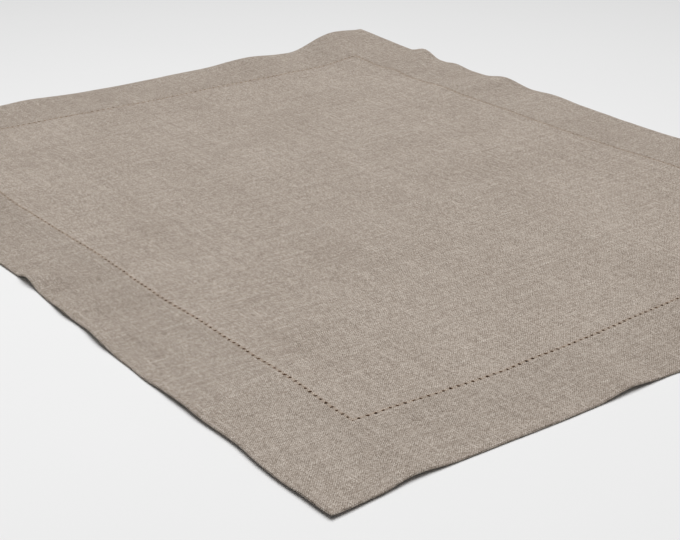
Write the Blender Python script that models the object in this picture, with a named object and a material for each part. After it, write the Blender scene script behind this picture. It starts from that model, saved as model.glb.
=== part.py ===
"""A linen placemat laid out on a table, as one closed solid.

The mat is one rectangle of cloth. Its four edges are folded under as one wide hem, and a row of
openwork runs round the inner edge of that hem. X runs along the mat's long side and Y along its
short side. The origin is the centre of the underside, which lies at z = 0 wherever the cloth touches
the table. Along the edges the cloth has the low ripples of a mat that was unfolded and smoothed by
hand.
"""

import bpy
import numpy as np

MM = 0.001

# Driving sizes in millimetres
LENGTH = 450.0
WIDTH = 365.0
HEM = 41.0
FIELD_THICK = 1.0
HEM_THICK = 1.4
ROW_THICK = 0.7
ROW_WIDE = 2.4
FOLD_ROUND = 0.6
BLUNT = 0.9
BLUNT_REACH = 8.0

# Mesh fineness: cells across the hem, and the largest cell over the middle in millimetres
HEM_CELLS = 4
MIDDLE_CELL = 10.5

# Ripples that start at an edge, in millimetres. A side is the edge on that end of an axis, and
# along is measured on it from its middle. A crest rises by lift at the edge, falls to nothing over
# spread to each side and over reach towards the middle, and leans by slant as it runs inwards. The
# edge stands out by out, or is drawn in where that is negative.
RIPPLES = (
    # side, along, spread, reach, slant, lift, out
    ("-Y", 190.0, 60.0, 50.0, 0.0, 1.1, 0.2),
    ("-Y", 140.0, 34.0, 45.0, 0.0, 1.5, -0.4),
    ("-Y", 76.0, 22.0, 60.0, 0.3, 1.5, 0.0),
    ("-Y", 48.0, 17.0, 50.0, 0.0, 1.2, -0.2),
    ("-Y", 17.0, 14.0, 75.0, 0.5, 3.6, -0.6),
    ("-Y", -20.0, 150.0, 140.0, 0.0, 0.0, -3.4),
    ("-Y", -38.0, 26.0, 60.0, -0.3, 1.4, 0.0),
    ("-Y", -112.0, 30.0, 70.0, 0.4, 2.3, -0.8),
    ("+X", -146.0, 19.0, 55.0, 0.2, 1.1, -1.1),
    ("+X", -118.0, 40.0, 60.0, 0.0, 0.0, -0.4),
    ("+X", -50.0, 20.0, 70.0, -0.2, 1.4, -1.4),
    ("+X", 22.0, 34.0, 55.0, 0.0, 1.1, -0.8),
    ("+X", 96.0, 26.0, 75.0, 0.3, 2.4, -1.2),
    ("+Y", -171.0, 15.0, 85.0, 0.5, 3.2, -0.6),
    ("+Y", -136.0, 13.0, 60.0, 0.3, 1.4, -0.5),
    ("+Y", -90.0, 21.0, 80.0, -0.3, 3.0, -0.8),
    ("+Y", -110.0, 60.0, 90.0, 0.0, 0.0, -1.4),
    ("+Y", -50.0, 20.0, 50.0, 0.0, 0.9, -0.4),
    ("+Y", 20.0, 70.0, 90.0, 0.0, 0.0, -2.8),
    ("+Y", 104.0, 28.0, 60.0, -0.4, 1.9, -0.6),
    ("-X", 150.0, 36.0, 95.0, -0.2, 5.0, 0.0),
    ("-X", 82.0, 34.0, 60.0, 0.3, 2.0, 0.0),
    ("-X", -12.0, 62.0, 90.0, 0.0, 0.0, -2.8),
    ("-X", -66.0, 24.0, 60.0, 0.0, 1.1, -1.2),
    ("-X", -128.0, 24.0, 55.0, 0.4, 1.5, 0.0),
)

# Corners of the mat, in millimetres: how high each one stands, how far it is pushed along X and Y
# from its square place, and the distance over which both die out.
CORNERS = (
    # side along X, side along Y, reach, lift, push along X, push along Y
    (1, -1, 46.0, 1.6, 2.2, -0.2),
    (-1, -1, 52.0, 2.6, 0.8, 1.2),
    (1, 1, 48.0, 2.2, -1.0, -0.8),
    (-1, 1, 70.0, 6.0, -3.6, -6.2),
)


def clear_scene():
    """Remove every object that the file opened with."""
    for item in list(bpy.data.objects):
        bpy.data.objects.remove(item, do_unlink=True)


def linen_material():
    """Undyed linen: a dull grey beige with no gloss."""
    material = bpy.data.materials.new("natural_linen")
    material.use_nodes = True
    shader = material.node_tree.nodes["Principled BSDF"]
    shader.inputs["Base Color"].default_value = (0.418, 0.356, 0.305, 1.0)
    shader.inputs["Roughness"].default_value = 0.9
    shader.inputs["Metallic"].default_value = 0.0
    return material


def grid_lines(size):
    """Places of the grid lines across one axis, from one folded edge to the other."""
    edge = size / 2
    row_outer = edge - HEM + ROW_WIDE / 2
    row_inner = edge - HEM - ROW_WIDE / 2
    over_hem = np.linspace(edge - FOLD_ROUND, row_outer, HEM_CELLS + 1)
    cells = int(np.ceil(2 * row_inner / MIDDLE_CELL))
    over_middle = np.linspace(row_inner, -row_inner, cells + 1)
    right_half = np.append(over_hem, edge - HEM)
    return np.concatenate((right_half, over_middle, -right_half[::-1]))[::-1]


def crest(distance):
    """A smooth hump: 1 at the crest and 0 from a distance of 1 outwards."""
    return np.cos(np.clip(np.abs(distance), 0.0, 1.0) * np.pi / 2) ** 2


def die_out(share):
    """Height left at a share of the reach: still rising at the edge, level where it ends."""
    inside = np.clip(share, 0.0, 1.0)
    return (1 - inside) ** 2 * (1 + inside)


def seen_from_side(side, x, y):
    """The distance along a side, the distance in from it, and the side's outward direction."""
    sign = 1.0 if side[0] == "+" else -1.0
    if side[1] == "X":
        return y, LENGTH / 2 - sign * x, (sign, 0.0)
    return x, WIDTH / 2 - sign * y, (0.0, sign)


def lie_of_cloth(x, y):
    """How far a point of the flat mat is moved along X, Y and Z as the mat lies on the table."""
    move_x = np.zeros_like(x)
    move_y = np.zeros_like(x)
    lift = np.zeros_like(x)
    for side, along, spread, reach, slant, height, out in RIPPLES:
        run, inwards, (toward_x, toward_y) = seen_from_side(side, x, y)
        shape = crest((run - along - slant * inwards) / spread) * die_out(inwards / reach)
        lift += height * shape
        move_x += out * toward_x * shape
        move_y += out * toward_y * shape
    for end_x, end_y, reach, height, push_x, push_y in CORNERS:
        away = np.hypot(end_x * LENGTH / 2 - x, end_y * WIDTH / 2 - y)
        shape = die_out(away / reach)
        lift += height * shape
        blunt = BLUNT * np.clip(1 - away / BLUNT_REACH, 0.0, 1.0)
        move_x += push_x * shape - end_x * blunt
        move_y += push_y * shape - end_y * blunt
    return move_x, move_y, lift


def thickness(x, y):
    """The field's one layer, the hem's folded layers, and the thin row of openwork between them."""
    inwards = np.minimum(LENGTH / 2 - np.abs(x), WIDTH / 2 - np.abs(y))
    from_row = inwards - HEM
    layers = np.where(from_row < 0, HEM_THICK, FIELD_THICK)
    return np.where(np.abs(from_row) < ROW_WIDE / 4, ROW_THICK, layers)


def cloth_points(x, y, height_share):
    """Points of the laid mat: 0 is its underside, 1 its upper side and 0.5 the middle of the fold."""
    move_x, move_y, lift = lie_of_cloth(x, y)
    z = lift + height_share * thickness(x, y)
    return np.column_stack((x + move_x, y + move_y, z)) * MM


def out_to_fold(places, size):
    """Places on the outermost grid lines moved out to the fold itself; others stay."""
    outermost = np.isclose(np.abs(places), size / 2 - FOLD_ROUND)
    return np.where(outermost, np.sign(places) * size / 2, places)


def rim_order(columns, rows):
    """Numbers of a grid's outer points, once round against the clock seen from above."""
    number = np.arange(columns * rows).reshape(rows, columns)
    south = number[0, :-1]
    east = number[:-1, -1]
    north = number[-1, :0:-1]
    west = number[:0:-1, 0]
    return np.concatenate((south, east, north, west))


def grid_faces(columns, rows, first):
    """Faces of a grid of points that starts at a given number, facing up."""
    number = np.arange(columns * rows).reshape(rows, columns) + first
    corners = (number[:-1, :-1], number[:-1, 1:], number[1:, 1:], number[1:, :-1])
    return np.stack([corner.ravel() for corner in corners], axis=1)


def band_faces(lower, upper):
    """Faces that join two closed loops of points, facing out of the mat."""
    return np.stack((lower, np.roll(lower, -1), np.roll(upper, -1), upper), axis=1)


def placemat_mesh():
    """Upper side, underside and the rounded fold between them, as one closed mesh."""
    lines_x = grid_lines(LENGTH)
    lines_y = grid_lines(WIDTH)
    columns, rows = len(lines_x), len(lines_y)
    x, y = (grid.ravel() for grid in np.meshgrid(lines_x, lines_y))
    rim = rim_order(columns, rows)
    fold_x = out_to_fold(x[rim], LENGTH)
    fold_y = out_to_fold(y[rim], WIDTH)
    points = np.concatenate((cloth_points(x, y, 1.0),
                             cloth_points(x, y, 0.0),
                             cloth_points(fold_x, fold_y, 0.5)))
    upper_rim = rim
    under_rim = rim + columns * rows
    fold_rim = np.arange(len(rim)) + 2 * columns * rows
    faces = np.concatenate((grid_faces(columns, rows, 0),
                            grid_faces(columns, rows, columns * rows)[:, ::-1],
                            band_faces(under_rim, fold_rim),
                            band_faces(fold_rim, upper_rim)))
    mesh = bpy.data.meshes.new("placemat")
    mesh.from_pydata(points.tolist(), [], faces.tolist())
    mesh.validate()
    mesh.shade_smooth()
    return mesh


def main():
    """Build the placemat as one object."""
    clear_scene()
    placemat = bpy.data.objects.new("placemat", placemat_mesh())
    placemat.data.materials.append(linen_material())
    bpy.context.scene.collection.objects.link(placemat)


main()
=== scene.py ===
"""The linen placemat as it looks: woven cloth, folded hem, ladder hemstitch, table, light and camera.

Sizes are in millimetres unless a comment says otherwise, and a mesh turns them to metres as its last
step. X runs along the mat's long side and Y along its short side. The cloth's lowest points are at
z = 0, and the table's top is a hair below them.
"""

import math
import bpy
import numpy as np
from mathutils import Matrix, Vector


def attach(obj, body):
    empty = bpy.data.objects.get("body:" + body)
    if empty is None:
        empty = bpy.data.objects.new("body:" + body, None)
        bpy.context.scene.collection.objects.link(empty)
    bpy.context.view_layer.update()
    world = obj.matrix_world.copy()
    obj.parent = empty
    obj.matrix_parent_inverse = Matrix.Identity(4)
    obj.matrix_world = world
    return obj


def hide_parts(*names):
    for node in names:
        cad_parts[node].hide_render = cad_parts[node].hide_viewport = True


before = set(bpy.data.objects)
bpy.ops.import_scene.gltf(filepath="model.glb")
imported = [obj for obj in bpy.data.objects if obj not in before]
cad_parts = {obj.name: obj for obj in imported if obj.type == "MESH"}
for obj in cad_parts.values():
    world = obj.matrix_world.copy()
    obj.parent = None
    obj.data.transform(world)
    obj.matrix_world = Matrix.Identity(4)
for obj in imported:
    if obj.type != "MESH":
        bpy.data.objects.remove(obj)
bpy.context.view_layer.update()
MM = 0.001

# The finished mat, the width of its hem, and how much of the cloth is turned in inside the hem. At a
# corner the cloth is drawn in by BLUNT, and less and less up to BLUNT_REACH from it, because folded
# layers never come to a sharp point
LENGTH = 450.0
WIDTH = 365.0
HEM = 41.0
TURN_IN = 8.0
BLUNT = 0.25
BLUNT_REACH = 8.0

# Under the hem: where its layers end, the middle of the dark line along that end, how far a mitre's
# line runs in from the corner, and how deep it is pressed into the cloth. A dark line is at its full
# darkness up to LINE_FULL from its middle and has faded at LINE_GONE
LAYERS_END = HEM - 1.6
END_LINE = HEM - 1.7
MITRE_END = HEM - 2.0
MITRE_DEPTH = 0.35
LINE_FULL = 0.15
LINE_GONE = 0.75

# The openwork: one bar and one hole in each pitch, the strip of cloth that holds the holes, the size
# of a hole along its row and across it, the number of points round it, and how rounded it is, where 1
# would be an ellipse and a lower power is squarer
PITCH = 3.2
STRIP = 2.2
HOLE_ALONG = 1.15
HOLE_ACROSS = 1.45
HOLE_RING = 12
HOLE_POWER = 0.8

# No two holes are the same: the range of their sizes, how far they slip from their places, by how
# many radians they turn, and the share of its length that a hole at a corner has
HOLE_SIZES = (0.76, 1.16)
HOLE_SLIP_ALONG = 0.16
HOLE_SLIP_ACROSS = 0.06
HOLE_TURN = 0.10
CORNER_HOLE = 0.8

# Holes are widest by the corner at +X and -Y and close up along the rows that lead away from it, the
# long rows sooner than the short ones: distances from that corner, and how open the holes are there
OPEN_PLACES = (40.0, 190.0, 330.0)
OPEN_ON_LONG_ROWS = (0.95, 0.74, 0.62)
OPEN_ON_SHORT_ROWS = (1.0, 1.0, 0.80)

# Rings of points round each hole, from the upper side over the lip and the waist to the underside
RINGS = (
    # size, share of the way down from the upper side, sink, share of the upper side's look, painted
    # shade
    (1.34, 0.0, 0.0, 1.0, 0.0),
    (1.05, 0.0, 0.07, 1.0, 0.25),
    (0.90, 0.5, 0.0, 0.6, 1.0),
    (1.05, 1.0, -0.07, 0.0, 1.0),
    (1.34, 1.0, 0.0, 0.0, 0.0),
)

# The thread round each bar: its radius, how far towards the hem it sits from the middle of the row,
# how far its own middle stands off the cloth, and the numbers of points round the bar and round it
THREAD_RADIUS = 0.15
THREAD_OFFSET = 0.42
THREAD_CLEAR = 0.06
THREAD_TURNS = 12
THREAD_SIDES = 5

# No two stitches are the same: how much wider than its bar a loop is, how far it leans towards the
# hem, and how far it slips
THREAD_SLACK = (-0.05, 0.08)
THREAD_LEAN = (0.05, 0.30)
THREAD_SLIP = 0.05

# The weave, at its real size: about 21 yarns to a centimetre. How far a yarn wanders from its line,
# and how often to a millimetre across the yarns and along them, the length over which its shade
# changes, and that of its slubs
WARP_PITCH = 0.46
WEFT_PITCH = 0.50
WANDER = 1.2
WANDER_ACROSS = 0.16
WANDER_ALONG = 0.07
SHADE_LENGTH = 4.5
SLUB_LENGTH = 12.0

# A slub is where a yarn's noise passes the first of these, and it is at its thickest at the second
SLUB_FROM = 0.62
SLUB_FULL = 0.74

# Steps through the noise from one yarn to the next, so that no yarn is like its neighbour, and from
# a yarn's shade to its slubs, so that they don't follow each other
SHADE_STEP = 5.37
SLUB_STEP = 3.71
SLUB_SEED = 7.0

# The relief that the light shows: its full height in millimetres and its strength. As shares of that
# height: what a yarn gains where it bows over another, its usual height, and what a slub adds
RELIEF_HEIGHT = 0.16
RELIEF_STRENGTH = 0.8
BOW = 0.55
USUAL_HEIGHT = 0.85
SLUB_RISE = 0.45

# How much each of these changes the weave's tone, where 1 is the whole range from dark to pale: a
# yarn's own shade, the drift along it, its slubs, and how much darker the weft is than the warp. All
# the changes are added to the mean tone
OWN_TONE = 0.14
DRIFT_TONE = 0.29
SLUB_TONE = 0.22
WEFT_TONE = 0.22
MEAN_TONE = 0.56

# Painted shade added to the tone down between the yarns and a faint painted highlight on their
# crowns, and the share of the full relief from which a yarn counts as crown
PIT_SHADE_TONE = -0.44
CROWN_HIGHLIGHT_TONE = 0.05
CROWN_FROM = 0.50

# Unevenness of the flax itself: from one crossing to the next, in thick and thin spots, as a mottle
# and in patches. The span of tone, and how many spots there are to a millimetre
CROSSING_TONE = 0.31
THICK_THIN_TONE = 0.12
THICK_THIN_SCALE = 0.95
MOTTLE_TONE = 0.12
MOTTLE_SCALE = 0.30
PATCH_TONE = 0.10
PATCH_SCALE = 0.022

# Undyed flax from the darkest painted shade in the pits to the palest slubs, each with its place in the
# range of tones
LINEN_SHADES = (
    (0.0, "#4d423a"),
    (0.25, "#82766a"),
    (0.5, "#ac9f93"),
    (0.75, "#c8bdb2"),
    (1.0, "#e4dbd0"),
)

# Tints that the weave's colour is multiplied by: on the hem's layers, on the strip of holes, along
# the dark lines under the hem, and inside the holes as painted shade, brown like light bounced off
# linen
HEM_TINT = "#fafafa"
STRIP_TINT = "#faf5f0"
LINE_TINT = "#75695f"
HOLE_SHADE_TINT = "#c09058"

# The fold at the mat's edge: its radius, and the number of steps round it
FOLD_ROUND = 0.7
FOLD_STEPS = 6

# How uneven the cloth lies beside its ripples: a slight waviness, a finer one, and the wandering of
# the edges. The amount, and the wavelength. The first is only a share as strong at the mat's edge,
# and at its full strength from CALM_REACH inwards
CALM_SHARE = 0.3
CALM_REACH = 30.0
FIELD_WAVE = 0.16
FIELD_WAVELENGTH = 58.0
FINE_WAVE = 0.07
FINE_WAVELENGTH = 17.0
EDGE_WAVE = 0.22
EDGE_WAVELENGTH = 21.0

# Ripples that start at an edge: the solid's, a few of them drawn more closely here, and finer ones
# along -Y and +X. A side is the edge on that end of an axis, and along is measured on it from its
# middle. A crest rises by lift at the edge, falls to nothing over spread to each side and over reach
# towards the middle, and leans by slant as it runs inwards. The edge stands out by out, or is drawn
# in where that is negative.
RIPPLES = (
    # side, along, spread, reach, slant, lift, out
    ("-Y", 190.0, 60.0, 50.0, 0.0, 0.7, 0.5),
    ("-Y", 172.0, 26.0, 50.0, 0.0, 0.3, -1.7),
    ("-Y", 140.0, 30.0, 45.0, 0.0, 1.1, -0.7),
    ("-Y", 102.0, 30.0, 50.0, 0.0, 0.0, -0.5),
    ("-Y", 76.0, 22.0, 60.0, 0.3, 1.5, 0.0),
    ("-Y", 66.0, 18.0, 40.0, 0.0, 0.0, -0.8),
    ("-Y", 48.0, 17.0, 50.0, 0.0, 1.2, -0.2),
    ("-Y", 12.0, 11.0, 42.0, 0.4, 2.5, 0.1),
    ("-Y", 14.0, 40.0, 60.0, 0.0, 0.0, -1.1),
    ("-Y", -20.0, 150.0, 140.0, 0.0, 0.0, -3.4),
    ("-Y", -38.0, 26.0, 60.0, -0.3, 1.4, 0.0),
    ("-Y", -112.0, 30.0, 70.0, 0.4, 2.3, -0.8),
    ("+X", -160.0, 24.0, 40.0, 0.0, 0.0, -0.6),
    ("+X", -146.0, 19.0, 55.0, 0.2, 1.1, -1.1),
    ("+X", -132.0, 16.0, 45.0, 0.0, 0.0, -0.7),
    ("+X", -112.0, 48.0, 60.0, 0.0, 0.0, -0.9),
    ("+X", -70.0, 18.0, 40.0, 0.0, 0.0, -0.7),
    ("+X", -30.0, 18.0, 40.0, 0.0, 0.0, -1.4),
    ("+X", -50.0, 20.0, 70.0, -0.2, 1.4, -1.4),
    ("+X", 22.0, 34.0, 55.0, 0.0, 1.1, -0.8),
    ("+X", 96.0, 26.0, 75.0, 0.3, 2.4, -1.2),
    ("+Y", -167.5, 14.0, 85.0, 0.5, 3.8, -0.6),
    ("+Y", -136.0, 13.0, 60.0, 0.3, 1.4, -0.5),
    ("+Y", -90.0, 21.0, 80.0, -0.3, 3.0, -0.8),
    ("+Y", -110.0, 60.0, 90.0, 0.0, 0.0, -1.4),
    ("+Y", -50.0, 20.0, 50.0, 0.0, 0.9, -0.4),
    ("+Y", 20.0, 70.0, 90.0, 0.0, 0.0, -2.8),
    ("+Y", 104.0, 28.0, 60.0, -0.4, 1.9, -0.6),
    ("-X", 150.0, 36.0, 95.0, -0.2, 5.0, 0.0),
    ("-X", 82.0, 34.0, 60.0, 0.3, 2.0, 0.0),
    ("-X", -12.0, 62.0, 90.0, 0.0, 0.0, -2.8),
    ("-X", -66.0, 24.0, 60.0, 0.0, 1.1, -1.2),
    ("-X", -128.0, 24.0, 55.0, 0.4, 1.5, 0.0),
)

# Corners: how high each one stands, how far it is pushed from its square place, and the reach of both
CORNERS = (
    # side along X, side along Y, reach, lift, push along X, push along Y
    (1, -1, 46.0, 0.7, 1.7, 1.1),
    (-1, -1, 52.0, 2.6, 0.8, 1.2),
    (1, 1, 48.0, 2.2, -1.0, -0.8),
    (-1, 1, 70.0, 6.0, -3.6, -6.2),
)

# Where the stitched row and the cloth beside it stray from a straight line, as the drawn threads do:
# a crest of outward stray at a place along the side, dying out over spread along it
ROW_REACH = 34.0
ROW_STRAYS = (
    # side, along, spread, outward
    ("-Y", -60.0, 110.0, 3.8),
    ("-Y", 42.0, 75.0, 2.2),
    ("-Y", 142.0, 30.0, -0.6),
    ("+X", -72.0, 75.0, 3.2),
    ("+X", 40.0, 70.0, -2.4),
    ("+Y", -185.0, 60.0, -2.6),
    ("+Y", 65.0, 55.0, 1.8),
)

# Section through the edge of the mat, from the fold inwards: the heights of its upper side and its
# underside over the table. The hem is two layers thick and three where its raw edge is turned in.
# Past the turned-in edge the single layer comes down onto the table.
SECTION = (
    # inwards, upper side, underside
    (FOLD_ROUND, 1.12, 0.00),
    (2.4, 1.20, 0.00),
    (5.6, 1.20, 0.00),
    (HEM - TURN_IN - 2.0, 1.20, 0.00),
    (HEM - TURN_IN, 1.38, 0.00),
    (HEM - 2.2, 1.38, 0.00),
    (HEM - 1.8, 1.34, 0.05),
    (HEM - 1.5, 1.28, 0.52),
    (HEM - STRIP / 2, 1.22, 0.58),
    (HEM + STRIP / 2, 1.08, 0.46),
    (HEM + 6.0, 0.92, 0.30),
    (HEM + 13.0, 0.72, 0.10),
    (HEM + 20.0, 0.66, 0.04),
    (WIDTH, 0.66, 0.04),
)


def crest(distance):
    """A smooth hump: 1 at the crest and 0 from a distance of 1 outwards."""
    return np.cos(np.clip(np.abs(distance), 0.0, 1.0) * np.pi / 2) ** 2


def die_out(share):
    """Height left at a share of the reach: still rising at the edge, level where it ends."""
    inside = np.clip(share, 0.0, 1.0)
    return (1 - inside) ** 2 * (1 + inside)


def seen_from_side(side, x, y):
    """The distance along a side, the distance in from it, and the side's outward direction."""
    sign = 1.0 if side[0] == "+" else -1.0
    if side[1] == "X":
        return y, LENGTH / 2 - sign * x, (sign, 0.0)
    return x, WIDTH / 2 - sign * y, (0.0, sign)


def lie_of_cloth(x, y):
    """How far a point of the flat mat is moved along X, Y and Z as the mat lies on the table."""
    move_x = np.zeros_like(x)
    move_y = np.zeros_like(x)
    lift = np.zeros_like(x)
    for side, along, spread, reach, slant, height, out in RIPPLES:
        run, inwards, (toward_x, toward_y) = seen_from_side(side, x, y)
        shape = crest((run - along - slant * inwards) / spread) * die_out(inwards / reach)
        lift += height * shape
        move_x += out * toward_x * shape
        move_y += out * toward_y * shape
    for side, along, spread, out in ROW_STRAYS:
        run, inwards, (toward_x, toward_y) = seen_from_side(side, x, y)
        shape = crest((run - along) / spread) * crest((inwards - HEM) / ROW_REACH)
        move_x += out * toward_x * shape
        move_y += out * toward_y * shape
    for end_x, end_y, reach, height, push_x, push_y in CORNERS:
        away = np.hypot(end_x * LENGTH / 2 - x, end_y * WIDTH / 2 - y)
        shape = die_out(away / reach)
        lift += height * shape
        blunt = BLUNT * np.clip(1 - away / BLUNT_REACH, 0.0, 1.0)
        move_x += push_x * shape - end_x * blunt
        move_y += push_y * shape - end_y * blunt
    return move_x, move_y, lift


def waviness(x, y, wavelength, seed):
    """Nine sine waves near one wavelength, in seeded directions and phases, summed to about -1 to 1."""
    rng = np.random.default_rng(seed)
    total = np.zeros_like(x)
    for turn, phase, stretch in zip(rng.uniform(0, 6.28, 9), rng.uniform(0, 6.28, 9),
                                    rng.uniform(0.7, 1.4, 9)):
        across = x * math.cos(turn) + y * math.sin(turn)
        total += np.sin(across * 2 * np.pi / (wavelength * stretch) + phase)
    return total / 5


def inwards_of(x, y):
    """Distance from the nearest edge of the flat mat."""
    return np.minimum(LENGTH / 2 - np.abs(x), WIDTH / 2 - np.abs(y))


def side_heights(x, y):
    """Heights of the upper side and the underside over the table, read off the section."""
    rows = np.array(SECTION)
    inwards = inwards_of(x, y)
    return np.interp(inwards, rows[:, 0], rows[:, 1]), np.interp(inwards, rows[:, 0], rows[:, 2])


def laid(x, y, height):
    """Points of the flat cloth at a height, moved to where the cloth lies. The ripples are joined by
    a slight waviness, weaker near the edge, by a finer one, and by the wandering of the edges. None
    of it goes below the table."""
    move_x, move_y, lift = lie_of_cloth(x, y)
    inwards = inwards_of(x, y)
    towards_field = np.clip(inwards / CALM_REACH, CALM_SHARE, 1.0)
    field_wave = FIELD_WAVE * (1 + waviness(x, y, FIELD_WAVELENGTH, 11)) * towards_field
    fine_wave = FINE_WAVE * (1 + waviness(x, y, FINE_WAVELENGTH, 12))
    edge_x = EDGE_WAVE * waviness(x, y, EDGE_WAVELENGTH, 13)
    edge_y = EDGE_WAVE * waviness(x, y, EDGE_WAVELENGTH, 14)
    z = height + lift + np.clip(field_wave + fine_wave, 0.0, None)
    return np.column_stack((x + move_x + edge_x, y + move_y + edge_y, z))


def grid_lines(size):
    """Places of the grid lines across one axis: fine at the fold and at the openwork, and one to
    each bar of the ladder over the field."""
    section = [row[0] for row in SECTION if row[0] <= HEM + STRIP / 2]
    hem = [section[0]]
    for start, end in zip(section, section[1:]):
        parts = max(1, round((end - start) / PITCH))
        hem.extend(start + (end - start) * (part + 1) / parts for part in range(parts))
    hem = size / 2 - np.array(hem)
    bars = round(2 * hem[-1] / PITCH)
    field = np.linspace(hem[-1], -hem[-1], bars + 1)
    return np.concatenate((hem[:-1], field, -hem[-2::-1]))[::-1]


def new_mesh(name, points, faces, smooth=True):
    """A mesh from an array of points in millimetres and a list of face arrays, each with its own
    number of corners: all loops and face starts are written at once."""
    mesh = bpy.data.meshes.new(name)
    loops = np.concatenate([block.ravel() for block in faces])
    counts = np.concatenate([np.full(len(block), block.shape[1]) for block in faces])
    mesh.vertices.add(len(points))
    mesh.vertices.foreach_set("co", (points * MM).astype(np.float32).ravel())
    mesh.loops.add(len(loops))
    mesh.loops.foreach_set("vertex_index", loops.astype(np.int32))
    mesh.polygons.add(len(counts))
    starts = np.concatenate(([0], np.cumsum(counts)[:-1]))
    mesh.polygons.foreach_set("loop_start", starts.astype(np.int32))
    mesh.update(calc_edges=True)
    mesh.validate()
    if smooth:
        mesh.shade_smooth()
    return mesh


def new_piece(name, mesh, material):
    """An object at the origin that rides on the mat's one body and shows one material."""
    piece = bpy.data.objects.new(name, mesh)
    bpy.context.scene.collection.objects.link(piece)
    mesh.materials.append(material)
    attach(piece, "root")
    return piece


def hole_outlines(centre_x, centre_y, half_x, half_y, turn):
    """Points round each hole, a rounded rectangle: a circle's cosine and sine raised to a power
    below 1, scaled to the half sizes and turned. One row for each hole, from its lower left."""
    angle = np.radians(-135 + 360 / HOLE_RING * np.arange(HOLE_RING))[None, :]
    round_x = np.sign(np.cos(angle)) * np.abs(np.cos(angle)) ** HOLE_POWER
    round_y = np.sign(np.sin(angle)) * np.abs(np.sin(angle)) ** HOLE_POWER
    x = half_x[:, None] * round_x
    y = half_y[:, None] * round_y
    cosine, sine = np.cos(turn)[:, None], np.sin(turn)[:, None]
    return centre_x[:, None] + x * cosine - y * sine, centre_y[:, None] + x * sine + y * cosine


def holed_cells(lines_x, lines_y):
    """Lower left grid numbers of the cells that hold a hole, their centres, and whether the row
    there runs along X. Cells lie in the openwork strip, one for each pitch and one at each corner."""
    mid_x = (lines_x[1:] + lines_x[:-1]) / 2
    mid_y = (lines_y[1:] + lines_y[:-1]) / 2
    in_strip_x = np.isclose(LENGTH / 2 - np.abs(mid_x), HEM)
    in_strip_y = np.isclose(WIDTH / 2 - np.abs(mid_y), HEM)
    within_x = LENGTH / 2 - np.abs(mid_x) > HEM - STRIP / 2
    within_y = WIDTH / 2 - np.abs(mid_y) > HEM - STRIP / 2
    row_y, row_x = np.nonzero((in_strip_y[:, None] & within_x[None, :])
                              | (in_strip_x[None, :] & within_y[:, None]))
    return row_x, row_y, mid_x[row_x], mid_y[row_y], in_strip_y[row_y]


def strip_of_holes(lines_x, lines_y, rng):
    """The openwork: for each holed cell its rings of points, one below another through the cloth.
    Returns flat places, heights, the walls between rings, the numbers of each ring's points, which
    start at 0, each cell's column and row, and how open its hole is."""
    column, row, centre_x, centre_y, along_x = holed_cells(lines_x, lines_y)
    count = len(column)
    size = rng.uniform(*HOLE_SIZES, (2, count)) / 2
    half_along = HOLE_ALONG * size[0]
    half_across = HOLE_ACROSS * size[1]
    away = np.hypot(centre_x - LENGTH / 2 + HEM, centre_y + WIDTH / 2 - HEM)
    openness = np.where(along_x, np.interp(away, OPEN_PLACES, OPEN_ON_LONG_ROWS),
                        np.interp(away, OPEN_PLACES, OPEN_ON_SHORT_ROWS))
    half_along *= openness
    half_across *= openness
    at_corner = np.isclose(np.abs(centre_x), LENGTH / 2 - HEM) & np.isclose(
        np.abs(centre_y), WIDTH / 2 - HEM)
    half_along[at_corner] *= CORNER_HOLE
    half_x = np.where(along_x, half_along, half_across)
    half_y = np.where(along_x, half_across, half_along)
    slip_along = rng.normal(0, HOLE_SLIP_ALONG, count)
    slip_across = rng.normal(0, HOLE_SLIP_ACROSS, count)
    centre_x = centre_x + np.where(along_x, slip_along, slip_across)
    centre_y = centre_y + np.where(along_x, slip_across, slip_along)
    turn = rng.normal(0, HOLE_TURN, count)
    x, y, height = [], [], []
    for grow, down, sink, _, _ in RINGS:
        ring_x, ring_y = hole_outlines(centre_x, centre_y, half_x * grow, half_y * grow, turn)
        upper, under = side_heights(ring_x, ring_y)
        x.append(ring_x)
        y.append(ring_y)
        height.append(upper + (under - upper) * down - sink)
    x, y, height = (np.stack(part, axis=1).ravel() for part in (x, y, height))
    number = np.arange(len(x)).reshape(count, len(RINGS), HOLE_RING)
    ahead = np.roll(number, -1, axis=2)
    walls = np.stack((number[:, :-1], ahead[:, :-1], ahead[:, 1:], number[:, 1:]), axis=-1)
    return x, y, height, walls.reshape(-1, 4), number, column, row, openness


def cell_to_ring(corners, ring):
    """Faces between a cell's four corners and the ring in it: each side of the cell gives one quad
    and two triangles. Both arrays have one row for each cell, in the same turning direction."""
    quads, triangles = [], []
    reach = HOLE_RING // 4
    for side in range(4):
        start, end = corners[:, side], corners[:, (side + 1) % 4]
        first, second, third, fourth = (ring[:, (reach * side + step) % HOLE_RING]
                                        for step in range(4))
        quads.append(np.stack((start, end, third, second), axis=1))
        triangles.append(np.stack((start, second, first), axis=1))
        triangles.append(np.stack((end, fourth, third), axis=1))
    return np.concatenate(quads), np.concatenate(triangles)


def rim_order(number):
    """Numbers of a grid's outer points, once round against the clock seen from above."""
    return np.concatenate((number[0, :-1], number[:-1, -1], number[-1, :0:-1], number[:0:-1, 0]))


def out_from_last_line(places, size, inset):
    """Places on the outermost grid lines moved to an inset from the fold; others stay."""
    outermost = np.isclose(np.abs(places), size / 2 - FOLD_ROUND)
    return np.where(outermost, np.sign(places) * (size / 2 - inset), places)


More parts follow.
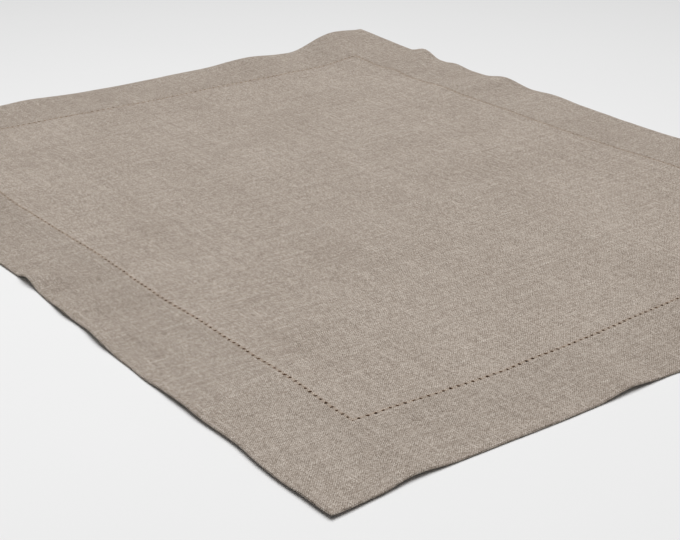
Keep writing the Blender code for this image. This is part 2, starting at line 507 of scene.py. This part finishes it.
def weave_map(mesh, flat, on_upper):
    """Cloth coordinates in metres for each face corner, so that threads run on through a fold. On
    the upper side and under the field they are the flat mat's. On the turned-under hem they run on
    past the fold, from whichever side the face belongs to, and change at the mitre."""
    loops = np.empty(len(mesh.loops), dtype=np.int32)
    mesh.loops.foreach_get("vertex_index", loops)
    totals = np.empty(len(mesh.polygons), dtype=np.int32)
    mesh.polygons.foreach_get("loop_total", totals)
    face = np.repeat(np.arange(len(totals)), totals)
    x, y = flat[loops, 0], flat[loops, 1]
    middle_x = (np.bincount(face, x) / totals)[face]
    middle_y = (np.bincount(face, y) / totals)[face]
    below = (np.bincount(face, on_upper[loops]) / totals)[face] < 0.5
    from_end = LENGTH / 2 - np.abs(middle_x)
    from_side = WIDTH / 2 - np.abs(middle_y)
    turned = below & (np.minimum(from_end, from_side) < LAYERS_END)
    past_end = turned & (from_end < from_side)
    past_side = turned & ~past_end
    u = np.where(past_end, np.sign(middle_x) * (LENGTH - np.abs(x)), x)
    v = np.where(past_side, np.sign(middle_y) * (WIDTH - np.abs(y)), y)
    layer = mesh.uv_layers.new(name="weave")
    layer.uv.foreach_set("vector", (np.column_stack((u, v)) * MM).astype(np.float32).ravel())


def mitre_split(quads, flat):
    """Quads of the hem's underside, cut in two along the mitre where it crosses them."""
    corner = flat[quads]
    from_end = LENGTH / 2 - np.abs(corner[:, :, 0])
    from_side = WIDTH / 2 - np.abs(corner[:, :, 1])
    on_line = np.isclose(from_end, from_side, atol=1e-4)
    first = on_line[:, 0] & on_line[:, 2] & ~on_line[:, 1]
    second = on_line[:, 1] & on_line[:, 3] & ~on_line[:, 0]
    halves = [quads[first][:, [0, 1, 2]], quads[first][:, [0, 2, 3]],
              quads[second][:, [0, 1, 3]], quads[second][:, [1, 2, 3]]]
    return quads[~(first | second)], np.concatenate(halves)


def cloth_mesh():
    """The whole cloth as one closed surface: an upper and a lower grid that share their lines, the
    holes of the openwork through both, and a half-round fold joining their rims."""
    rng = np.random.default_rng(3)
    lines_x, lines_y = grid_lines(LENGTH), grid_lines(WIDTH)
    x, y = (grid.ravel() for grid in np.meshgrid(lines_x, lines_y))
    number = np.arange(len(x)).reshape(len(lines_y), len(lines_x))
    upper, under = side_heights(x, y)
    on_mitre = np.isclose(LENGTH / 2 - np.abs(x), WIDTH / 2 - np.abs(y), atol=1e-4)
    under = under + np.where(on_mitre & (inwards_of(x, y) < MITRE_END), MITRE_DEPTH, 0.0)

    rim = rim_order(number)
    fold = []
    for step in range(1, FOLD_STEPS):
        angle = np.pi * step / FOLD_STEPS
        inset = FOLD_ROUND * (1 - np.sin(angle))
        fold_x = out_from_last_line(x[rim], LENGTH, inset)
        fold_y = out_from_last_line(y[rim], WIDTH, inset)
        share = (1 - np.cos(angle)) / 2
        fold.append((fold_x, fold_y, upper[rim] + (under[rim] - upper[rim]) * share))

    hole_x, hole_y, hole_z, walls, ring, column, row, openness = strip_of_holes(
        lines_x, lines_y, rng)
    all_x = np.concatenate([x, x] + [part[0] for part in fold] + [hole_x])
    all_y = np.concatenate([y, y] + [part[1] for part in fold] + [hole_y])
    heights = np.concatenate([upper, under] + [part[2] for part in fold] + [hole_z])
    flat = np.column_stack((all_x, all_y))
    _, _, _, ring_on_upper, ring_painted_shade = np.array(RINGS).T
    on_upper = np.concatenate((np.ones(len(x)), np.zeros(len(x)))
                              + tuple(np.full(len(rim), 1.0 - step / FOLD_STEPS)
                                      for step in range(1, FOLD_STEPS))
                              + (np.tile(np.repeat(ring_on_upper, HOLE_RING), len(column)),))

    cells = np.stack((number[:-1, :-1], number[:-1, 1:], number[1:, 1:], number[1:, :-1]), axis=-1)
    whole = np.ones(cells.shape[:2], dtype=bool)
    whole[row, column] = False
    plain = cells[whole]
    holed = cells[row, column]
    first_hole = len(x) * 2 + len(rim) * (FOLD_STEPS - 1)
    ring = ring + first_hole
    under_quads, under_triangles = mitre_split(plain[:, ::-1] + len(x), flat)
    upper_frame, upper_corner = cell_to_ring(holed, ring[:, 0])
    under_frame, under_corner = cell_to_ring(holed + len(x), ring[:, -1])

    loops = [rim]
    loops += [len(x) * 2 + len(rim) * step + np.arange(len(rim)) for step in range(FOLD_STEPS - 1)]
    loops.append(rim + len(x))
    bands = [np.stack((low, np.roll(low, -1), np.roll(high, -1), high), axis=1)
             for high, low in zip(loops, loops[1:])]
    quads = np.concatenate([plain, under_quads, upper_frame, under_frame[:, ::-1],
                            walls + first_hole] + bands)
    triangles = np.concatenate([under_triangles, upper_corner, under_corner[:, ::-1]])
    mesh = new_mesh("linen_cloth", laid(all_x, all_y, heights), [quads, triangles])
    weave_map(mesh, flat, on_upper)
    # Painted shade inside the holes: darkest at the waist and the lower lip, weaker where a hole is
    # less open
    inside = np.zeros(len(all_x))
    inside[first_hole:] = (openness[:, None] * np.repeat(ring_painted_shade, HOLE_RING)).ravel()
    mesh.attributes.new("painted_hole_shade", "FLOAT", "POINT").data.foreach_set(
        "value", inside.astype(np.float32))
    return mesh


def bars_of_ladder():
    """Middle of each bar of cloth between two holes, the direction along its row and the direction
    out towards the mat's edge: arrays with one row for each bar."""
    places, along, outward = [], [], []
    for size, other, axis in ((LENGTH, WIDTH, 0), (WIDTH, LENGTH, 1)):
        lines = grid_lines(size)
        joints = lines[np.abs(lines) <= size / 2 - HEM - STRIP / 2 + 1e-6]
        for end in (-1.0, 1.0):
            across = np.full(len(joints), end * (other / 2 - HEM))
            places.append(np.column_stack((joints, across) if axis == 0 else (across, joints)))
            step = (1.0, 0.0) if axis == 0 else (0.0, 1.0)
            along.append(np.tile(step, (len(joints), 1)))
            outward.append(np.tile((0.0, end) if axis == 0 else (end, 0.0), (len(joints), 1)))
    return np.concatenate(places), np.concatenate(along), np.concatenate(outward)


def thread_loops():
    """A thread wrapped once round each bar at its hem side, as closed rings: the ring's path is an
    ellipse round the bar's section, leaning along the bar, and a small circle is carried along it."""
    rng = np.random.default_rng(8)
    places, along, outward = bars_of_ladder()
    count = len(places)
    angle = np.linspace(0, 2 * np.pi, THREAD_TURNS, endpoint=False)[None, :, None]
    round_it = np.linspace(0, 2 * np.pi, THREAD_SIDES, endpoint=False)[None, None, :]
    half_bar = (PITCH - HOLE_ALONG) / 2 + rng.uniform(*THREAD_SLACK, count)[:, None, None]
    lean = rng.uniform(*THREAD_LEAN, count)[:, None, None]
    offset = THREAD_OFFSET + rng.normal(0, THREAD_SLIP, count)[:, None, None]
    upper, under = side_heights(places[:, 0], places[:, 1])
    middle = ((upper + under) / 2)[:, None, None]
    half_thick = ((upper - under) / 2)[:, None, None] + THREAD_CLEAR
    grow = THREAD_RADIUS * np.cos(round_it)
    run = (half_bar + grow) * np.cos(angle)
    height = middle + (half_thick + grow) * np.sin(angle)
    out = offset + lean * np.cos(angle) + THREAD_RADIUS * np.sin(round_it)
    x, y = (places[:, axis, None, None] + run * along[:, axis, None, None]
            + out * outward[:, axis, None, None] for axis in (0, 1))
    points = laid(x.ravel(), y.ravel(), np.broadcast_to(height, x.shape).ravel())
    number = np.arange(x.size).reshape(x.shape)
    ahead = np.roll(number, -1, axis=1)
    faces = np.stack((number, np.roll(number, -1, axis=2), np.roll(ahead, -1, axis=2), ahead),
                     axis=-1).reshape(-1, 4)
    return new_mesh("hemstitch_thread", points, [faces])


# Colours, nodes and materials


def linear(hex_colour):
    """A colour with alpha 1 from its sRGB hex value, turned to linear light."""
    channels = [int(hex_colour[start:start + 2], 16) / 255 for start in (1, 3, 5)]
    return [c / 12.92 if c <= 0.04045 else ((c + 0.055) / 1.055) ** 2.4 for c in channels] + [1.0]


def add(tree, kind, *values, out=0, **named):
    """Add a shader node and return one of its outputs. Plain values go to its inputs in order. A name
    in small letters is a setting of the node's own. Any other name is an input: its label, with
    underscores for spaces, or its number, as In6. A value that is another node's output is linked."""
    node = tree.nodes.new("ShaderNode" + kind)
    inputs = dict(enumerate(values))
    for name, value in named.items():
        if name.islower():
            setattr(node, name, value)
        elif name[2:].isdigit():
            inputs[int(name[2:])] = value
        else:
            inputs[name.replace("_", " ")] = value
    for place, value in inputs.items():
        if isinstance(value, bpy.types.NodeSocket):
            tree.links.new(value, node.inputs[place])
        else:
            node.inputs[place].default_value = value
    return node.outputs[out]


def new_material(name, roughness, specular, sheen=0.0):
    """A material with a rough Principled shader, its constants set on the shader's own sockets.
    Returned with its node tree and its shader."""
    material = bpy.data.materials.new(name)
    material.use_nodes = True
    shader = material.node_tree.nodes["Principled BSDF"]
    shader.inputs["Roughness"].default_value = roughness
    shader.inputs["Specular IOR Level"].default_value = specular
    shader.inputs["Sheen Weight"].default_value = sheen
    return material, material.node_tree, shader


def yarns(tree, across, along, spacing, seed):
    """One set of parallel yarns that wander a little. Gives the yarn's number at a point, its rounded
    section (0 between yarns and 1 on its crown), its own tone, a tone that drifts along it, and its
    slubs, which are short thick stretches."""
    wander = add(tree, "TexNoise", noise_dimensions="2D", Scale=1.0, Detail=1.0,
                 Vector=add(tree, "CombineXYZ",
                            add(tree, "Math", across, WANDER_ACROSS, operation="MULTIPLY"),
                            add(tree, "Math", along, WANDER_ALONG, operation="MULTIPLY")))
    moved = add(tree, "Math", wander, WANDER, across, operation="MULTIPLY_ADD")
    place = add(tree, "Math", moved, spacing, operation="DIVIDE")
    number = add(tree, "Math", place, operation="FLOOR")
    share = add(tree, "Math", place, operation="FRACT")
    from_crown = add(tree, "Math", share, 2.0, -1.0, operation="MULTIPLY_ADD")
    fall = add(tree, "Math", from_crown, from_crown, operation="MULTIPLY")
    section = add(tree, "Math", 1.0, fall, operation="SUBTRACT")
    own = add(tree, "TexWhiteNoise", noise_dimensions="1D",
              W=add(tree, "Math", number, seed, operation="ADD"))
    drift = add(tree, "TexNoise", noise_dimensions="3D", Scale=1.0, Detail=2.0, Roughness=0.6,
                Vector=add(tree, "CombineXYZ",
                           add(tree, "Math", along, SHADE_LENGTH, operation="DIVIDE"),
                           add(tree, "Math", number, SHADE_STEP, operation="MULTIPLY"), seed))
    thick = add(tree, "TexNoise", noise_dimensions="3D", Scale=1.0, Detail=1.0,
                Vector=add(tree, "CombineXYZ",
                           add(tree, "Math", along, SLUB_LENGTH, operation="DIVIDE"),
                           add(tree, "Math", number, SLUB_STEP, operation="MULTIPLY"),
                           seed + SLUB_SEED))
    slub = add(tree, "MapRange", interpolation_type="SMOOTHSTEP", Value=thick, From_Min=SLUB_FROM,
               From_Max=SLUB_FULL)
    return {"number": number, "section": section, "own": own, "drift": drift, "slub": slub}


def crown(tree, top, below):
    """Height of the yarn on top: rounded across, bowed over the one below, higher on a slub."""
    bow = add(tree, "Math", below["section"], BOW, 1 - BOW, operation="MULTIPLY_ADD")
    thick = add(tree, "Math", top["slub"], SLUB_RISE, USUAL_HEIGHT, operation="MULTIPLY_ADD")
    bowed = add(tree, "Math", top["section"], bow, operation="MULTIPLY")
    return add(tree, "Math", bowed, thick, operation="MULTIPLY")


def yarn_tone(tree, yarn):
    """Tone of a yarn: its own shade and the drift along it, with its slubs paler."""
    own = add(tree, "Math", yarn["own"], OWN_TONE, -OWN_TONE / 2, operation="MULTIPLY_ADD")
    drifting = add(tree, "Math", yarn["drift"], DRIFT_TONE, -DRIFT_TONE / 2,
                   operation="MULTIPLY_ADD")
    both = add(tree, "Math", own, drifting, operation="ADD")
    return add(tree, "Math", yarn["slub"], SLUB_TONE, both, operation="MULTIPLY_ADD")


def weave_tone(tree, point, warp, weft, over, relief):
    """Tone of the weave, where 0 is its darkest and 1 its palest: the top yarn's tone, the weft's
    darker than the warp's, painted shade down in the pits between yarns and a faint painted highlight
    on their crowns, with the flax's own unevenness from crossing to crossing, in thick and thin spots
    two yarns wide, as a mottle, and in soft patches."""
    value = add(tree, "Mix", over, data_type="FLOAT", In2=yarn_tone(tree, warp),
                In3=yarn_tone(tree, weft))
    # Painted shade down in the pits between yarns, and a faint painted highlight on their crowns
    pits = add(tree, "MapRange", interpolation_type="SMOOTHSTEP", Value=relief, From_Min=0.0,
               From_Max=CROWN_FROM, To_Min=PIT_SHADE_TONE, To_Max=CROWN_HIGHLIGHT_TONE)
    value = add(tree, "Math", value, pits, operation="ADD")
    weft_side = add(tree, "Math", over, WEFT_TONE, -WEFT_TONE / 2, operation="MULTIPLY_ADD")
    value = add(tree, "Math", value, weft_side, operation="SUBTRACT")
    crossing = add(tree, "TexWhiteNoise", noise_dimensions="2D",
                   Vector=add(tree, "CombineXYZ", warp["number"], weft["number"]))
    thick_thin = add(tree, "TexNoise", noise_dimensions="2D", Vector=point, Scale=THICK_THIN_SCALE,
                     Detail=1.0)
    mottle = add(tree, "TexNoise", noise_dimensions="2D", Vector=point, Scale=MOTTLE_SCALE,
                 Detail=2.0, Roughness=0.6)
    patch = add(tree, "TexNoise", noise_dimensions="2D", Vector=point, Scale=PATCH_SCALE, Detail=2.0)
    for noise, span in ((crossing, CROSSING_TONE), (thick_thin, THICK_THIN_TONE),
                        (mottle, MOTTLE_TONE), (patch, PATCH_TONE)):
        centred = add(tree, "Math", noise, span, -span / 2, operation="MULTIPLY_ADD")
        value = add(tree, "Math", value, centred, operation="ADD")
    return add(tree, "Math", value, MEAN_TONE, operation="ADD")


def line_tints(tree, u, v):
    """Tints that follow the hem: the layers of the hem, the strip with the holes, and two dark lines
    on the underside, where the sides of a mitre meet and where the hem's layers end. Distances are
    in from the mat's edge, and on the turned-under hem they count on below zero."""
    white = linear("#ffffff")
    from_end = add(tree, "Math", LENGTH / 2, add(tree, "Math", u, operation="ABSOLUTE"),
                   operation="SUBTRACT")
    from_side = add(tree, "Math", WIDTH / 2, add(tree, "Math", v, operation="ABSOLUTE"),
                    operation="SUBTRACT")
    inwards = add(tree, "Math", from_end, from_side, operation="MINIMUM")

    # The layers end, and the paler field begins, within the strip of holes
    on_field = add(tree, "MapRange", Value=inwards, From_Min=HEM - 1.2, From_Max=HEM + 0.2)
    layers = add(tree, "Mix", on_field, data_type="RGBA", In6=linear(HEM_TINT), In7=white, out=2)

    past_row = add(tree, "Math", inwards, HEM, operation="SUBTRACT")
    off_row = add(tree, "Math", past_row, operation="ABSOLUTE")
    off_strip = add(tree, "MapRange", interpolation_type="SMOOTHSTEP", Value=off_row, From_Min=0.5,
                    From_Max=STRIP / 2)
    strip = add(tree, "Mix", off_strip, data_type="RGBA", In6=linear(STRIP_TINT), In7=white, out=2)

    past_mitre = add(tree, "Math", add(tree, "Math", from_end, operation="ABSOLUTE"),
                     add(tree, "Math", from_side, operation="ABSOLUTE"), operation="SUBTRACT")
    off_mitre = add(tree, "Math", past_mitre, operation="ABSOLUTE")
    past_layers = add(tree, "Math", inwards, END_LINE, operation="ADD")
    off_layers = add(tree, "Math", past_layers, operation="ABSOLUTE")
    off_line = add(tree, "Math", off_mitre, off_layers, operation="MINIMUM")
    # Anywhere but under the hem a whole millimetre is added, which takes the point clear of the lines
    elsewhere = add(tree, "Math", inwards, -0.5, operation="GREATER_THAN")
    clear = add(tree, "MapRange", interpolation_type="SMOOTHSTEP", From_Min=LINE_FULL,
                From_Max=LINE_GONE, Value=add(tree, "Math", off_line, elsewhere, operation="ADD"))
    seams = add(tree, "Mix", clear, data_type="RGBA", In6=linear(LINE_TINT), In7=white, out=2)
    return layers, strip, seams


def woven_linen():
    """Undyed flax linen in plain weave, washed and pressed. Yarns of uneven thickness and shade give
    the eye a speckled grain close to and a soft mottle farther off, with a few pale slubs along both
    directions, and painted shade in the pits between yarns. The hem's folded layers look a little
    darker than the field, where the pale table shines through one layer. The insides of the holes
    carry painted shade, brown like light bounced off linen."""
    material, tree, shader = new_material("woven_flax_linen", roughness=1.0, specular=0.05)
    point = add(tree, "VectorMath", add(tree, "UVMap", uv_map="weave"), operation="SCALE",
                Scale=1 / MM)
    u, v, _ = add(tree, "SeparateXYZ", point).node.outputs
    warp = yarns(tree, u, v, WARP_PITCH, 3.0)
    weft = yarns(tree, v, u, WEFT_PITCH, 41.0)
    both = add(tree, "Math", warp["number"], weft["number"], operation="ADD")
    over = add(tree, "Math", add(tree, "Math", both, operation="ABSOLUTE"), 2.0, operation="MODULO")
    relief = add(tree, "Mix", over, data_type="FLOAT", In2=crown(tree, warp, weft),
                 In3=crown(tree, weft, warp))

    colour = add(tree, "ValToRGB", weave_tone(tree, point, warp, weft, over, relief))
    shades = colour.node.color_ramp.elements
    shades.remove(shades[0])
    shades[0].position, darkest = LINEN_SHADES[0]
    shades[0].color = linear(darkest)
    for place, shade in LINEN_SHADES[1:]:
        shades.new(place).color = linear(shade)

    # Painted shade inside the holes, brown like light bounced off linen
    hole_shade_share = add(tree, "Attribute", attribute_name="painted_hole_shade", out="Fac")
    shaded = add(tree, "Mix", hole_shade_share, data_type="RGBA", In6=linear("#ffffff"),
                 In7=linear(HOLE_SHADE_TINT), out=2)
    for tint in (*line_tints(tree, u, v), shaded):
        colour = add(tree, "Mix", 1.0, data_type="RGBA", blend_type="MULTIPLY", In6=colour,
                     In7=tint, out=2)
    tree.links.new(colour, shader.inputs["Base Color"])
    bump = add(tree, "Bump", Strength=RELIEF_STRENGTH, Distance=RELIEF_HEIGHT * MM, Height=relief)
    tree.links.new(bump, shader.inputs["Normal"])
    return material


def sewing_thread():
    """Twisted linen sewing thread, a little darker and smoother than the cloth: its twist gives the
    eye a soft unevenness with spots less than half a millimetre long."""
    material, tree, shader = new_material("twisted_linen_thread", roughness=0.8, specular=0.3,
                                          sheen=0.1)
    twist = add(tree, "TexNoise", Vector=add(tree, "TexCoord", out="Object"), Scale=2600.0,
                Detail=1.0)
    tone = add(tree, "Mix", twist, data_type="RGBA", In6=linear("#a39487"), In7=linear("#bfb2a5"),
               out=2)
    tree.links.new(tone, shader.inputs["Base Color"])
    return material


def tabletop():
    """Matt white laminate: even and pale, with the faintest unevenness, and painted shade that makes it
    a little greyer away from the mat's near side, as a table is that one lamp lights. Distances in
    metres."""
    material, tree, shader = new_material("matt_white_laminate", roughness=1.0, specular=0.0)
    place = add(tree, "TexCoord", out="Object")
    uneven = add(tree, "TexNoise", Vector=place, Scale=9.0, Detail=3.0)
    # Painted shade: greyer away from a point by the mat's near side, as light from one lamp falls off
    away = add(tree, "VectorMath", place, (0.05, -0.15, 0.0), operation="DISTANCE", out="Value")
    painted_falloff = add(tree, "MapRange", interpolation_type="SMOOTHSTEP", Value=away, From_Min=-0.05,
                  From_Max=1.20)
    bright = add(tree, "Mix", uneven, data_type="RGBA", In6=linear("#eaeaea"),
                 In7=linear("#ececec"), out=2)
    tone = add(tree, "Mix", painted_falloff, data_type="RGBA", In6=bright, In7=linear("#bebebe"), out=2)
    tree.links.new(tone, shader.inputs["Base Color"])
    return material


def table():
    """A pale level surface, far larger than the view, and a hair below the cloth's underside."""
    half = 2600.0
    top = -0.02
    points = np.array([(-half, -half, top), (half, -half, top), (half, half, top),
                       (-half, half, top)])
    mesh = new_mesh("tabletop", points, [np.array([[0, 1, 2, 3]])], smooth=False)
    mesh.materials.append(tabletop())
    floor = bpy.data.objects.new("tabletop", mesh)
    bpy.context.scene.collection.objects.link(floor)


def look_along(thing, direction):
    """Turn a lamp or a camera to look along a direction, with its top upwards."""
    thing.rotation_mode = "QUATERNION"
    thing.rotation_quaternion = direction.to_track_quat("-Z", "Y")


def studio():
    """Even pale surroundings, with a large soft square lamp above and behind the mat that faces its
    middle, in metres and watts. It leaves a thin dark line where the near edges meet the table, with
    a soft shadow outside it."""
    world = bpy.data.worlds.new("pale_room")
    world.use_nodes = True
    background = world.node_tree.nodes["Background"]
    background.inputs["Color"].default_value = linear("#ffffff")
    background.inputs["Strength"].default_value = 0.16
    bpy.context.scene.world = world
    data = bpy.data.lights.new("soft_lamp_behind", "AREA")
    data.shape = "SQUARE"
    data.size = 4.2
    data.energy = 231.0
    lamp = bpy.data.objects.new("soft_lamp_behind", data)
    lamp.location = (-0.35, 0.70, 4.30)
    look_along(lamp, -lamp.location)
    bpy.context.scene.collection.objects.link(lamp)


def camera():
    """The photograph's view, in metres: the aim point on the table, and the angles and distance of
    the camera from it."""
    azimuth = math.radians(53.43)
    elevation = math.radians(23.18)
    distance = 0.5989
    aim = Vector((0.0766, -0.0673, 0.0))
    back = Vector((math.sin(azimuth) * math.cos(elevation),
                   -math.cos(azimuth) * math.cos(elevation), math.sin(elevation)))
    data = bpy.data.cameras.new("camera")
    data.sensor_width = 36.0
    data.lens = 76.1
    data.clip_start = 0.01
    view = bpy.data.objects.new("camera", data)
    view.location = aim + back * distance
    look_along(view, -back)
    bpy.context.scene.collection.objects.link(view)
    bpy.context.scene.camera = view


# Build

camera()
table()
studio()
cloth = new_piece("linen_cloth", cloth_mesh(), woven_linen())
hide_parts("placemat")
stitches = new_piece("hemstitch_thread", thread_loops(), sewing_thread())
bpy.context.scene.view_settings.view_transform = "Standard"
